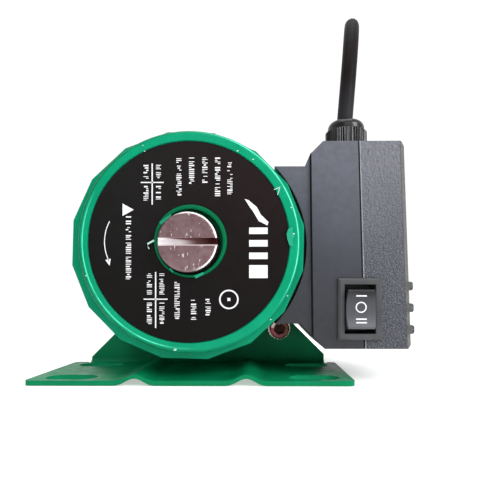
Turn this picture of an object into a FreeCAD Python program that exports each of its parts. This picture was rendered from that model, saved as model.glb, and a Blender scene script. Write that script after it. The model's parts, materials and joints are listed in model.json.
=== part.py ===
import FreeCAD, Part
import math
import os

os.makedirs("parts", exist_ok=True)

V = FreeCAD.Vector
EX, EY, EZ = V(1, 0, 0), V(0, 1, 0), V(0, 0, 1)

# ---- driving dimensions (mm): X right, Y away from the motor's front end, Z up ----
AXIS_Z = 57.0            # motor axis above the underside of the foot
FRONT_Y = -25.0          # front of the motor rim and front edge of the foot

# foot bracket
SHEET = 2.0
FOOT_LEFT, FOOT_RIGHT, FOOT_CORNER_R = -67.0, 66.0, 2.5
BEND_R = 2.5
UPRIGHT_Y = 27.0         # front face of the upright
UPRIGHT_X0, UPRIGHT_X1, UPRIGHT_TOP = -59.0, 60.5, 29.0
EAR_LEFT, EAR_RIGHT = 63.6, 66.6     # distance from the middle plus height, along the 45 degree edges
CRADLE_R = 44.5
SLOT_X, SLOT_Y, SLOT_L, SLOT_R = 50.5, 17.0, 21.0, 5.25
RIB_X, RIB_HALF, RIB_RISE, RIB_FLANK, RIB_THIN = 22.4, 9.2, 2.5, 0.36, 0.35

# motor housing
RIM_X, RIM_Z = -0.6, AXIS_Z + 0.5            # the turned front ring
RIM_R, RIM_BACK, RIM_ROUND = 44.7, -20.5, 1.6
GROOVE_R, GROOVE_BACK = 43.2, -19.3
FACETS, FACET_BACK = 16, 17.0
FACET_WIDE, FACET_HIGH = 47.6, 46.5          # middle to a flat, across and up: the casting is a little oval
FACET_X, FACET_Z, FACET_TURN = -1.75, AXIS_Z - 0.35, -0.026     # and sits off the bore
NECK_R, FLANGE_R = 43.0, 47.0
FLANGE_Y0, FLANGE_Y1 = 29.0, 36.0
LABEL_R, LABEL_Y0, LABEL_Y1 = 40.2, -24.6, -24.0
WALL_BACK = -17.0
BORE_R = 36.0
COLLAR_R, COLLAR_Y, COLLAR_X, COLLAR_Z = 14.5, -25.3, 0.2, AXIS_Z + 0.8
RECESS_R, RECESS_BACK, VENT_HOLE_R = 13.2, -19.5, 9.3
RECESS_X, RECESS_Z = -0.05, AXIS_Z + 0.4     # the cast recess sits a little off its own hole
LEAD_Y, LEAD_HOLE_R, PAD_HALF, PAD_X = 23.0, 4.5, 8.5, 46.5

# flange bolts, M6 socket head
BOLT_XZ, BOLT_R, BOLT_CLEAR_R = 37.5, 3.0, 3.3
LUG_R = 6.5
HEAD_R, HEAD_L, SOCKET_AF, SOCKET_D = 5.0, 6.0, 5.0, 3.2
WASHER_R, WASHER_T, WASHER_TEETH = 5.9, 1.0, 22
BOLT_END_Y = 47.0

# vent plug
PLUG_X = -0.55           # the plug's threaded hole is bored this far off the rim's centre
PLUG_R, PLUG_FRONT, PLUG_BACK = 11.8, -29.5, -21.0
STEM_R, STEM_END, SEAL_R = 8.92, -14.4, 12.2
SCREW_SLOT, SCREW_SLOT_D = 3.1, 2.2

# stator, can and rotor
STATOR_IN, STATOR_Y0, STATOR_Y1, COIL_OVER = 18.8, -9.0, 21.0, 4.0
SLOTS, SLOT_W, SLOT_IN, SLOT_OUT = 12, 5.0, 21.5, 29.0
CAN_R, CAN_T, CAN_FRONT, CAN_BACK = 18.5, 0.5, -15.0, 30.0
BOSS_R, BOSS_BORE = 12.0, 9.0
SHAFT_R, SHAFT_Y0, SHAFT_Y1 = 4.0, -12.0, 62.0
BEARING_R, BEARING_CLEAR = 8.0, 0.05
ROTOR_R, ROTOR_Y0, ROTOR_Y1 = 17.6, -5.0, 23.0
PLATE_Y0, PLATE_Y1 = 30.0, 34.0

# pump end
CASING_Y0, CASING_FLANGE_T = 37.0, 7.0
CHAMBER_R, CHAMBER_BACK, EYE_WALL_BACK = 28.0, 53.0, 57.0
IMPELLER_R, IMP_Y0, IMP_Y1, VANES = 24.0, 42.0, 52.0, 6
EYE_R, NECK_OUT = 10.0, 12.0
PORT_Y, PORT_X, PORT_THREAD_R, PORT_BORE_R = 68.0, 65.0, 16.6, 8.0
INLET_SEAT_R, INLET_SEAT_L = 10.5, 16.0      # takes a strainer
OUTLET_SEAT_R, OUTLET_SEAT_L = 9.5, 12.0     # takes a check valve

# terminal box
BOX_X0, BOX_SEAM, BOX_X1 = 49.0, 69.0, 88.0
BOX_Y0, BOX_Y1, BOX_Z0, BOX_Z1, BOX_T = -18.0, 42.0, 14.0, 100.0, 2.5
BOX_LEAN = ((BOX_X0, 1.0), (BOX_SEAM, 2.4), (BOX_X1, 3.0))   # outward drift towards the bottom
NECK_Y0, NECK_Y1, NECK_Z0, NECK_Z1 = -16.5, 38.0, 24.3, 90.0
NECK_LIP_Y, NECK_LIP_R = -10.0, 47.3
GRIP_Z, GRIP_H = (22.0, 31.0, 40.0), 1.8
SCREW_YZ = ((-11.0, 93.0), (35.0, 93.0), (35.0, 21.0), (12.0, 21.0))

# rocker switch
SW_X, SW_Z = 68.9, 30.5
BEZEL_W, BEZEL_H, BEZEL_T = 18.0, 25.4, 2.0
OPEN_W, OPEN_H = 12.8, 20.2
BODY_W, BODY_H, BODY_BACK = 14.8, 22.0, -3.0
ROCKER_W, ROCKER_END_W, ROCKER_HALF, PIVOT_Y, PIVOT_R = 12.0, 10.8, 8.0, -13.6, 1.2

# gland and cord
GLAND_X, GLAND_Y, THREAD_R = 68.5, 9.0, 7.6
NUT_R, NUT_Z0, NUT_Z1, DOME_TOP = 9.7, 103.2, 113.3, 117.9
KNURLS, SMOOTH_EVERY, SMOOTH, KNURL_D = 120, 30, 8, 0.45
CORD_R = 3.65
COIL_X, COIL_Y, COIL_R, COIL_Z0, COIL_PITCH, COIL_TURNS = -16.0, 144.0, 38.0, 0.4, 7.7, 3.0
SEAL_TOP = 114.2
CORD_POINTS = (
    (67.6, 9.0, SEAL_TOP + 0.35), (71.6, 8.0, 163.5), (79.0, 50.0, 188.0), (83.5, 92.0, 163.0),
    (80.5, 96.0, 110.0), (64.0, 101.0, 66.0), (36.0, 104.0, 25.0), (10.0, 106.0, 6.0),
    (-16.0, 106.0, 4.05),
)
PLUG_LEN, PLUG_BODY_R, PIN_R, PIN_L, PIN_GAP = 36.0, 17.0, 2.4, 19.0, 19.0


# ---- helpers ----
def box(x0, x1, y0, y1, z0, z1):
    return Part.makeBox(x1 - x0, y1 - y0, z1 - z0, V(x0, y0, z0))


def cyl_x(r, x0, x1, y, z):
    return Part.makeCylinder(r, x1 - x0, V(x0, y, z), EX)


def cyl_y(r, y0, y1, x=0.0, z=AXIS_Z):
    return Part.makeCylinder(r, y1 - y0, V(x, y0, z), EY)


def cyl_z(r, z0, z1, x, y):
    return Part.makeCylinder(r, z1 - z0, V(x, y, z0), EZ)


def ring_y(r_out, r_in, y0, y1, x=0.0, z=AXIS_Z):
    return cyl_y(r_out, y0, y1, x, z).cut(cyl_y(r_in, y0 - 1, y1 + 1, x, z))


def cone_y(r0, r1, y0, y1):
    return Part.makeCone(r0, r1, y1 - y0, V(0, y0, AXIS_Z), EY)


def prism(points, push):
    loop = [V(*p) for p in points]
    return Part.Face(Part.makePolygon(loop + loop[:1])).extrude(push)


def prism_y(xz, y0, y1):
    return prism([(x, y0, z) for x, z in xz], V(0, y1 - y0, 0))


def polygon_xz(sides, r, x, z, turn=0.0):
    steps = [turn + 2 * math.pi * k / sides for k in range(sides)]
    return [(x + r * math.cos(a), z + r * math.sin(a)) for a in steps]


def obround(x, y, length, r, z0, z1):
    half = length / 2 - r
    mid = box(x - half, x + half, y - r, y + r, z0, z1)
    return mid.fuse([cyl_z(r, z0, z1, x - half, y), cyl_z(r, z0, z1, x + half, y)])


def clean(shape):
    return shape.removeSplitter()


def tube(points, r, name):
    """Straight runs joined by tangent arcs, swept with a round section."""
    pts = [V(*p) for p in points]
    edges, last, radii = [], pts[0], []
    for before, corner, after in zip(pts, pts[1:], pts[2:]):
        a, b = (before - corner), (after - corner)
        reach = 0.45 * min(a.Length, b.Length)
        a.normalize()
        b.normalize()
        half_turn = (math.pi - a.getAngle(b)) / 2
        radii.append(reach / math.tan(half_turn))
        start, end = corner + a * reach, corner + b * reach
        inward = a + b
        inward.normalize()
        mid = corner + inward * (radii[-1] / math.cos(half_turn) - radii[-1])
        edges += [Part.LineSegment(last, start).toShape(), Part.Arc(start, mid, end).toShape()]
        last = end
    edges.append(Part.LineSegment(last, pts[-1]).toShape())
    wire = Part.Wire(edges)
    way = pts[1] - pts[0]
    section = Part.Wire(Part.makeCircle(r, pts[0], way))
    solid = wire.makePipeShell([section], True, False)
    print(name, "length", round(wire.Length, 1), "least radius", round(min(radii), 1),
          "volume ratio", round(solid.Volume / (math.pi * r * r * wire.Length), 4))
    return solid


def corners():
    return [(sx * BOLT_XZ, AXIS_Z + sz * BOLT_XZ) for sz in (-1, 1) for sx in (-1, 1)]


NODES = {}

# ---- foot bracket ----
bend_y = UPRIGHT_Y - BEND_R
foot = box(FOOT_LEFT, FOOT_RIGHT, FRONT_Y, bend_y + SHEET, 0, SHEET)
upright_edges = [e for e in foot.Edges
                 if abs(e.Vertexes[0].X - e.Vertexes[1].X) + abs(e.Vertexes[0].Y - e.Vertexes[1].Y) < 1e-6]
foot = foot.makeFillet(FOOT_CORNER_R, upright_edges)
foot = foot.cut(box(UPRIGHT_X0 - 1.5, UPRIGHT_X1 + 1.5, bend_y, UPRIGHT_Y + SHEET, -1, SHEET + 1))
bend_z = BEND_R + SHEET
bend = cyl_x(BEND_R + SHEET, UPRIGHT_X0, UPRIGHT_X1, bend_y, bend_z).cut(
    cyl_x(BEND_R, UPRIGHT_X0 - 1, UPRIGHT_X1 + 1, bend_y, bend_z))
bend = bend.common(box(UPRIGHT_X0, UPRIGHT_X1, bend_y, UPRIGHT_Y + SHEET, 0, bend_z))
outline = [(UPRIGHT_X0, bend_z), (UPRIGHT_X1, bend_z), (UPRIGHT_X1, EAR_RIGHT - UPRIGHT_X1),
           (EAR_RIGHT - UPRIGHT_TOP, UPRIGHT_TOP), (UPRIGHT_TOP - EAR_LEFT, UPRIGHT_TOP),
           (UPRIGHT_X0, EAR_LEFT + UPRIGHT_X0)]
upright = prism_y(outline, UPRIGHT_Y, UPRIGHT_Y + SHEET).cut(
    cyl_y(CRADLE_R, UPRIGHT_Y - 1, UPRIGHT_Y + SHEET + 1))
foot = foot.fuse([bend, upright])


def rib(x, lift, rise=RIB_RISE):
    """Solid under a pressed rib's arched surface, from below the foot up to that surface."""
    a, b = V(x - RIB_HALF, FRONT_Y, lift), V(x + RIB_HALF, FRONT_Y, lift)
    low = V(0, 0, -lift - 1)
    flanks = [V(x + side * RIB_HALF / 2, FRONT_Y, lift + RIB_FLANK * rise) for side in (-1, 1)]
    bell = Part.BSplineCurve()
    bell.interpolate(Points=[a, flanks[0], V(x, FRONT_Y, lift + rise), flanks[1], b],
                     InitialTangent=EX, FinalTangent=EX)
    top = bell.toShape()
    sides = [Part.LineSegment(b, b + low).toShape(), Part.LineSegment(b + low, a + low).toShape(),
             Part.LineSegment(a + low, a).toShape()]
    return Part.Face(Part.Wire([top] + sides)).extrude(V(0, bend_y - FRONT_Y - 1, 0))


for side in (-1, 1):
    hollow = rib(side * RIB_X, 0, RIB_RISE + RIB_THIN)
    raised = rib(side * RIB_X, SHEET).cut(hollow)
    raised = raised.common(box(FOOT_LEFT, FOOT_RIGHT, FRONT_Y, bend_y, 0, 9))
    foot = foot.cut(hollow).fuse(raised)
    for row in (-1, 1):
        foot = foot.cut(obround(side * SLOT_X, row * SLOT_Y, SLOT_L, SLOT_R, -1, SHEET + 1))
for x, z in corners()[:2]:
    foot = foot.cut(cyl_y(BOLT_CLEAR_R, UPRIGHT_Y - 1, UPRIGHT_Y + SHEET + 1, x, z))
NODES["foot_bracket"] = clean(foot)


# ---- motor housing ----
def bolted_flange(y0, y1, hole_r):
    disc = cyl_y(FLANGE_R, y0, y1)
    for x, z in corners():
        arm = Part.makeBox(BOLT_XZ * math.sqrt(2) - LUG_R, y1 - y0, 2 * LUG_R, V(LUG_R, y0, -LUG_R))
        arm.rotate(V(0, 0, 0), EY, -math.degrees(math.atan2(z - AXIS_Z, x)))
        arm.translate(V(0, 0, AXIS_Z))
        disc = disc.fuse([cyl_y(LUG_R, y0, y1, x, z), arm])
    for x, z in corners():
        disc = disc.cut(cyl_y(hole_r, y0 - 1, y1 + 1, x, z))
    return disc


def facet_prism(y0, y1):
    wide, high = FACET_WIDE / math.cos(math.pi / FACETS), FACET_HIGH / math.cos(math.pi / FACETS)
    unit = polygon_xz(FACETS, 1.0, 0, 0, math.pi / FACETS + FACET_TURN)
    return prism_y([(FACET_X + wide * x, FACET_Z + high * z) for x, z in unit], y0, y1)


def rounded_disc(r, y0, y1, round_r):
    disc = cyl_y(r, y0, y1, RIM_X, RIM_Z)
    front = [e for e in disc.Edges if e.Closed and abs(e.BoundBox.YMax - y0) < 1e-3]
    return disc.makeFillet(round_r, front)


housing = rounded_disc(RIM_R, FRONT_Y, RIM_BACK, RIM_ROUND).fuse([
    cyl_y(GROOVE_R, RIM_BACK, GROOVE_BACK, RIM_X, RIM_Z),
    facet_prism(GROOVE_BACK, FACET_BACK),
    cyl_y(NECK_R, FACET_BACK, FLANGE_Y0),
    bolted_flange(FLANGE_Y0, FLANGE_Y1, BOLT_CLEAR_R),
])
housing = housing.cut(cyl_y(BORE_R, WALL_BACK, FLANGE_Y1 + 1))
housing = housing.fuse(box(NECK_R - 4, PAD_X, FACET_BACK, FLANGE_Y0, AXIS_Z - PAD_HALF,
                           AXIS_Z + PAD_HALF))
housing = housing.cut(cyl_y(LABEL_R + 0.3, FRONT_Y - 1, LABEL_Y1, RIM_X, RIM_Z))
housing = housing.fuse(cyl_y(COLLAR_R, COLLAR_Y, LABEL_Y1 + 0.5, COLLAR_X, COLLAR_Z))
housing = housing.cut(cyl_y(RECESS_R, COLLAR_Y - 1, RECESS_BACK, RECESS_X, RECESS_Z))
housing = housing.cut(cyl_y(VENT_HOLE_R, RECESS_BACK - 1, WALL_BACK + 1, PLUG_X))
housing = housing.cut(cyl_x(LEAD_HOLE_R, BORE_R - 3, PAD_X + 2, LEAD_Y, AXIS_Z))
NODES["motor_housing"] = clean(housing)
NODES["nameplate"] = cyl_y(LABEL_R, LABEL_Y0, LABEL_Y1, RIM_X, RIM_Z).cut(
    cyl_y(COLLAR_R + 0.3, LABEL_Y0 - 1, LABEL_Y1 + 1, COLLAR_X, COLLAR_Z))

# ---- vent plug ----
head = cyl_y(PLUG_R, PLUG_FRONT, PLUG_BACK, PLUG_X)
rim = [e for e in head.Edges if e.Closed and abs(e.BoundBox.YMax - PLUG_FRONT) < 1e-3]
head = head.makeChamfer(0.8, rim).fuse(cyl_y(STEM_R, PLUG_BACK, STEM_END, PLUG_X))
NODES["vent_plug"] = clean(head.cut(box(-PLUG_R - 2, PLUG_R + 1, PLUG_FRONT - 1, PLUG_FRONT + SCREW_SLOT_D,
                                        AXIS_Z - SCREW_SLOT / 2, AXIS_Z + SCREW_SLOT / 2)))
NODES["vent_plug_seal"] = ring_y(SEAL_R, STEM_R + 0.35, PLUG_BACK, RECESS_BACK, PLUG_X)

# ---- stator ----
bars = []
for k in range(SLOTS):
    bar = Part.makeBox(SLOT_OUT - SLOT_IN, STATOR_Y1 - STATOR_Y0, SLOT_W, V(SLOT_IN, STATOR_Y0, -SLOT_W / 2))
    bar.rotate(V(0, 0, 0), EY, 360.0 * k / SLOTS)
    bar.translate(V(0, 0, AXIS_Z))
    bars.append(bar)
NODES["stator_core"] = ring_y(BORE_R, STATOR_IN, STATOR_Y0, STATOR_Y1).cut(bars[0].fuse(bars[1:]))
end_turns = [ring_y(SLOT_OUT + 1, SLOT_IN - 1, STATOR_Y0 - COIL_OVER, STATOR_Y0),
             ring_y(SLOT_OUT + 1, SLOT_IN - 1, STATOR_Y1, STATOR_Y1 + COIL_OVER)]
NODES["stator_windings"] = clean(end_turns[0].fuse(end_turns[1:] + bars))

# ---- rotor can, bearings and rotor ----
can_end = CAN_FRONT + 1
can = cyl_y(CAN_R, CAN_FRONT, can_end).fuse(cyl_y(BOSS_R, WALL_BACK, can_end))
can = can.cut(cyl_y(BOSS_BORE, WALL_BACK - 1, can_end + 1, PLUG_X)).fuse([
    ring_y(CAN_R, CAN_R - CAN_T, CAN_FRONT, CAN_BACK),
    ring_y(BEARING_R + 1.6, BEARING_R, can_end, -6.0),
    ring_y(31.0, CAN_R - CAN_T, CAN_BACK - 2, CAN_BACK),
])
NODES["rotor_can"] = clean(can)
NODES["can_o_ring"] = ring_y(BOSS_R + 2.0, BOSS_R, WALL_BACK, CAN_FRONT)
NODES["front_bearing"] = ring_y(BEARING_R, SHAFT_R + BEARING_CLEAR, SHAFT_Y0, -6.0)
NODES["rear_bearing"] = ring_y(BEARING_R, SHAFT_R + BEARING_CLEAR, 28.0, 36.0)
NODES["bearing_plate"] = clean(ring_y(BORE_R, BEARING_R, PLATE_Y0, PLATE_Y1).fuse(
    ring_y(BEARING_R + 3, BEARING_R, 28.0, 38.0)))
NODES["thrust_washer"] = ring_y(BEARING_R - 1, SHAFT_R, 24.5, 27.6)
NODES["rotor_core"] = ring_y(ROTOR_R, SHAFT_R, ROTOR_Y0, ROTOR_Y1)
shaft = cyl_y(SHAFT_R, SHAFT_Y0, SHAFT_Y1)
NODES["rotor_shaft"] = shaft.cut(box(-SHAFT_R - 1, SHAFT_R + 1, SHAFT_Y0 - 1, SHAFT_Y0 + 1.5,
                                     AXIS_Z - 0.7, AXIS_Z + 0.7))

# ---- impeller ----
back_shroud = ring_y(IMPELLER_R, SHAFT_R, IMP_Y0, IMP_Y0 + 1.5)
front_shroud = ring_y(IMPELLER_R, EYE_R, IMP_Y1 - 1.5, IMP_Y1)
hub = ring_y(SHAFT_R + 3, SHAFT_R, IMP_Y0, EYE_WALL_BACK)
eye_ring = ring_y(NECK_OUT, EYE_R, IMP_Y1 - 1.5, EYE_WALL_BACK)
vanes = []
for k in range(VANES):
    arc = ring_y(16.0, 14.5, IMP_Y0 + 1, IMP_Y1 - 1, 15.0, AXIS_Z + 8.0).common(
        box(-40, 40, IMP_Y0, IMP_Y1, AXIS_Z - 40, AXIS_Z + 6.0))
    arc = arc.common(ring_y(IMPELLER_R, SHAFT_R + 2, IMP_Y0, IMP_Y1)).common(
        box(SHAFT_R, 40, IMP_Y0, IMP_Y1, AXIS_Z - 30, AXIS_Z + 30))
    arc.rotate(V(0, 0, AXIS_Z), EY, 360.0 * k / VANES)
    vanes.append(arc)
NODES["impeller"] = clean(back_shroud.fuse([front_shroud, hub, eye_ring] + vanes))
NODES["impeller_nut"] = prism_y(polygon_xz(6, 6.5, 0, AXIS_Z), EYE_WALL_BACK, EYE_WALL_BACK + 4).cut(
    cyl_y(SHAFT_R, EYE_WALL_BACK - 1, EYE_WALL_BACK + 5))
NODES["wear_ring"] = ring_y(NECK_OUT + 3, NECK_OUT + 0.35, CHAMBER_BACK, EYE_WALL_BACK)

# ---- pump casing ----
PASS_A, PASS_B = V(20, 46, AXIS_Z), V(48, PORT_Y, AXIS_Z)


def passage(r, start, end):
    way = end - start
    return Part.makeCylinder(r, way.Length, start, way)


casing = bolted_flange(CASING_Y0, CASING_Y0 + CASING_FLANGE_T, BOLT_R).fuse([
    cyl_y(33.0, CASING_Y0 + 3, 58.0),
    cone_y(33.0, 15.0, 58.0, 80.0),
    cyl_x(12.0, -PORT_X, PORT_X, PORT_Y, AXIS_Z),
    passage(10.5, PASS_A, PASS_B),
    cyl_x(PORT_THREAD_R, -PORT_X, -PORT_X + 16, PORT_Y, AXIS_Z),
    cyl_x(PORT_THREAD_R, PORT_X - 16, PORT_X, PORT_Y, AXIS_Z),
])
casing = casing.cut(cyl_y(CHAMBER_R, CASING_Y0 - 1, CHAMBER_BACK).fuse(
    cyl_y(CHAMBER_R - 1, 40.0, CHAMBER_BACK, 2.5, AXIS_Z + 1.0)))
casing = casing.cut(cyl_y(NECK_OUT + 3, CHAMBER_BACK - 1, EYE_WALL_BACK))
casing = casing.cut(cyl_y(EYE_R + 1, EYE_WALL_BACK - 1, PORT_Y + PORT_BORE_R))
casing = casing.cut(cyl_x(PORT_BORE_R, -PORT_X, 0, PORT_Y, AXIS_Z))
casing = casing.cut(cyl_x(PORT_BORE_R - 0.5, PORT_X - 21, PORT_X, PORT_Y, AXIS_Z))
casing = casing.cut(cyl_x(INLET_SEAT_R, -PORT_X - 1, -PORT_X + INLET_SEAT_L, PORT_Y, AXIS_Z))
casing = casing.cut(cyl_x(OUTLET_SEAT_R, PORT_X - OUTLET_SEAT_L, PORT_X + 1, PORT_Y, AXIS_Z))
casing = casing.cut(passage(6.5, PASS_A, PASS_B))
NODES["volute_casing"] = clean(casing)
NODES["housing_gasket"] = ring_y(42.0, 31.0, FLANGE_Y1, CASING_Y0)

# ---- flange bolts and washers ----
bolts, washers = [], []
for n, (x, z) in enumerate(corners()):
    seat = UPRIGHT_Y if n < 2 else FLANGE_Y0
    under = seat - WASHER_T
    head = cyl_y(HEAD_R, under - HEAD_L, under, x, z)
    top = [e for e in head.Edges if e.Closed and abs(e.BoundBox.YMax - under + HEAD_L) < 1e-3]
    head = head.makeFillet(0.7, top)
    socket = prism_y(polygon_xz(6, SOCKET_AF / math.sqrt(3), x, z, 0.3), under - HEAD_L - 1,
                     under - HEAD_L + SOCKET_D)
    bolts.append(clean(head.fuse(cyl_y(BOLT_R, under, BOLT_END_Y, x, z))).cut(socket))
    teeth = []
    for k in range(2 * WASHER_TEETH):
        r, a = WASHER_R - 0.45 * (k % 2), math.pi * k / WASHER_TEETH
        teeth.append((x + r * math.cos(a), z + r * math.sin(a)))
    washers.append(prism_y(teeth, under, seat).cut(cyl_y(BOLT_R, under - 1, seat + 1, x, z)))
NODES["flange_bolts"] = Part.makeCompound(bolts)
NODES["lock_washers"] = Part.makeCompound(washers)


# ---- terminal box ----
def leaning(x, z):
    """x of a side of the box at height z; the sides drift outward towards the bottom."""
    (xa, ka), (xb, kb) = BOX_LEAN[:2] if x < BOX_SEAM else BOX_LEAN[1:]
    k = ka + (kb - ka) * (x - xa) / (xb - xa)
    return x + k * (BOX_Z1 - z) / (BOX_Z1 - BOX_Z0)


def box_profile(inset):
    x0, x1, z0, z1 = BOX_X0 + inset, BOX_X1 - inset, BOX_Z0 + inset, BOX_Z1 - inset
    k = inset * 0.6
    loop = [(x0, z0 + 4.8 - k), (x0 + 4.4 - k, z0), (x1 - 1.5, z0), (x1, z0 + 1.5), (x1, z1 - 1.5),
            (x1 - 1.5, z1), (x0 + 5 - k, z1), (x0, z1 - 5 + k)]
    return [(leaning(x, z), z) for x, z in loop]


def seam_side(x_far):
    """Everything on one side of the leaning seam, as a prism along the depth."""
    top, low = BOX_Z1 + 30, BOX_Z0 - 14
    xz = [(leaning(BOX_SEAM, low), low), (x_far, low), (x_far, top), (leaning(BOX_SEAM, top), top)]
    return prism_y(xz, BOX_Y0 - 40, BOX_Y1 + 40)


EDGE = 2.4
lean_way = V(leaning(BOX_X1, BOX_Z1 + 1) - leaning(BOX_X1, BOX_Z0 - 1), 0, BOX_Z1 - BOX_Z0 + 2)
outer = prism_y(box_profile(0), BOX_Y0, BOX_Y1)
for y0, y1 in ((BOX_Y0, BOX_Y0 + EDGE), (BOX_Y1, BOX_Y1 - EDGE)):
    foot_x = leaning(BOX_X1, BOX_Z0 - 1)
    wedge = [(foot_x - EDGE * 0.9, y0, BOX_Z0 - 1), (foot_x + 1, y0, BOX_Z0 - 1),
             (foot_x + 1, y1, BOX_Z0 - 1), (foot_x, y1, BOX_Z0 - 1)]
    outer = outer.cut(prism(wedge, lean_way))
cavity = prism_y(box_profile(BOX_T), BOX_Y0 + BOX_T, BOX_Y1 - BOX_T)
shell = outer.cut(cavity)
shell = shell.cut(box(SW_X - BODY_W / 2, SW_X + BODY_W / 2, BOX_Y0 - 1, BOX_Y0 + BOX_T + 1,
                      SW_Z - BODY_H / 2, SW_Z + BODY_H / 2))
shell = shell.cut(cyl_z(THREAD_R + 0.2, BOX_Z1 - BOX_T - 1, BOX_Z1 + 1, GLAND_X, GLAND_Y))

neck = prism_y([(34.0, NECK_Z0), (44.6, NECK_Z0), (53.6, BOX_Z0 + 1.2), (53.6, BOX_Z1 - 2.5),
                (BOX_X0, 95.5), (46.6, NECK_Z1), (34.0, NECK_Z1)], NECK_Y0, NECK_Y1).cut(outer)
neck = neck.cut(cyl_y(NECK_LIP_R, NECK_Y0 - 1, NECK_LIP_Y)).cut(facet_prism(NECK_Y0 - 1, FACET_BACK))
neck = neck.cut(box(0, 41.0, FACET_BACK, BOX_Y1, 0, BOX_Z1)).cut(
    cyl_y(FLANGE_R + 1.2, FACET_BACK, BOX_Y1)).fuse(
    box(PAD_X, BOX_X0 + 1, FACET_BACK - 4, FLANGE_Y0 - 1, AXIS_Z - PAD_HALF, AXIS_Z + PAD_HALF))
for x, z in corners():
    neck = neck.cut(cyl_y(LUG_R + 0.7, FACET_BACK, BOX_Y1, x, z))

cover_side = seam_side(BOX_X1 + 20)
base = shell.cut(cover_side).fuse(neck)
cover = shell.common(cover_side)
seam_foot = leaning(BOX_SEAM, BOX_Z0 - 1)
seam_way = V(leaning(BOX_SEAM, BOX_Z1 + 1) - seam_foot, 0, BOX_Z1 - BOX_Z0 + 2)
base = base.cut(prism([(seam_foot - 0.55, BOX_Y0 - 0.1, BOX_Z0 - 1), (seam_foot, BOX_Y0 + 0.6, BOX_Z0 - 1),
                       (seam_foot + 0.1, BOX_Y0 - 0.1, BOX_Z0 - 1)], seam_way))
for z in GRIP_Z:
    x = leaning(BOX_X1, z)
    ridge = [(x - 2.3, z - GRIP_H), (x + 0.4, z - GRIP_H), (x + 1.0, z - GRIP_H + 0.6),
             (x + 1.0, z + GRIP_H - 0.6), (x + 0.4, z + GRIP_H), (x - 2.3, z + GRIP_H)]
    cover = cover.fuse(prism_y(ridge, BOX_Y0 + 0.3, BOX_Y1 - 0.3))
screws = []
for y, z in SCREW_YZ:
    seam_x, face_x = leaning(BOX_SEAM, z), leaning(BOX_X1, z)
    post = cyl_x(3.6, leaning(BOX_X0, z) + 2.2, face_x - 1, y, z)
    base = base.fuse(post.cut(cover_side)).cut(cyl_x(1.4, seam_x - 12, seam_x + 1, y, z))
    cover = cover.fuse(post.common(cover_side)).cut(
        cyl_x(2.9, face_x - 3.5, face_x + 2, y, z).fuse(cyl_x(1.4, seam_x - 1, face_x, y, z)))
    screw = cyl_x(2.7, face_x - 3.5, face_x - 1.5, y, z).fuse(cyl_x(1.4, seam_x - 9, face_x - 3, y, z))
    screws.append(clean(screw).cut(box(face_x - 2.4, face_x, y - 2.4, y + 2.4, z - 0.4, z + 0.4)))
base = base.cut(cyl_x(LEAD_HOLE_R, 34.0, BOX_X0 + BOX_T + 2, LEAD_Y, AXIS_Z))
NODES["box_base"] = clean(base)
NODES["box_cover"] = clean(cover)
NODES["cover_screws"] = Part.makeCompound(screws)

# ---- rocker switch ----
front = BOX_Y0 - BEZEL_T
bezel = box(SW_X - BEZEL_W / 2, SW_X + BEZEL_W / 2, front, BOX_Y0, SW_Z - BEZEL_H / 2, SW_Z + BEZEL_H / 2)
lip = [e for e in bezel.Edges if abs(e.BoundBox.YMax - front) < 1e-3]
bezel = bezel.makeChamfer(0.8, lip)
body = box(SW_X - BODY_W / 2, SW_X + BODY_W / 2, BOX_Y0, BODY_BACK, SW_Z - BODY_H / 2, SW_Z + BODY_H / 2)
case = bezel.fuse(body).cut(box(SW_X - OPEN_W / 2, SW_X + OPEN_W / 2, front - 1, -8.0,
                                SW_Z - OPEN_H / 2, SW_Z + OPEN_H / 2))
case = case.cut(cyl_x(PIVOT_R + 0.06, SW_X - OPEN_W / 2 - 0.8, SW_X + OPEN_W / 2 + 0.8, PIVOT_Y, SW_Z))
NODES["switch_housing"] = clean(case)
end_y, dish_y, bevel = front - 2.9, front - 1.4, 0.8
x0, tip = SW_X - ROCKER_W / 2, ROCKER_HALF - bevel
dish = Part.Arc(V(x0, end_y, SW_Z - tip), V(x0, dish_y, SW_Z), V(x0, end_y, SW_Z + tip)).toShape()
side = [(end_y, tip), (end_y + bevel, ROCKER_HALF), (PIVOT_Y + 0.5, 6.5), (PIVOT_Y + 2.6, 2.0),
        (PIVOT_Y + 2.6, -2.0), (PIVOT_Y + 0.5, -6.5), (end_y + bevel, -ROCKER_HALF), (end_y, -tip)]
back = [Part.LineSegment(V(x0, ya, SW_Z + za), V(x0, yb, SW_Z + zb)).toShape()
        for (ya, za), (yb, zb) in zip(side, side[1:])]
rocker = Part.Face(Part.Wire([dish] + back)).extrude(V(ROCKER_W, 0, 0))
bulge = []
for way in (-1, 1):
    bulge.append(Part.Arc(V(SW_X + way * ROCKER_END_W / 2, end_y - 1, SW_Z + way * ROCKER_HALF),
                          V(SW_X + way * ROCKER_W / 2, end_y - 1, SW_Z),
                          V(SW_X + way * ROCKER_END_W / 2, end_y - 1, SW_Z - way * ROCKER_HALF)).toShape())
gaps = [Part.LineSegment(bulge[k].Vertexes[-1].Point, bulge[1 - k].Vertexes[0].Point).toShape()
        for k in (0, 1)]
barrel = Part.Face(Part.Wire([bulge[0], gaps[0], bulge[1], gaps[1]])).extrude(V(0, 20, 0))
pin_end = OPEN_W / 2 + 0.7
NODES["switch_rocker"] = clean(rocker.common(barrel).fuse(
    cyl_x(PIVOT_R, SW_X - pin_end, SW_X + pin_end, PIVOT_Y, SW_Z)))
blades = [box(SW_X + dx - 0.4, SW_X + dx + 0.4, BODY_BACK, BODY_BACK + 7, SW_Z + dz - 2.4, SW_Z + dz + 2.4)
          for dx in (-3.5, 3.5) for dz in (-7.0, 0.0, 7.0)]
NODES["switch_terminals"] = Part.makeCompound(blades)

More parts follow.
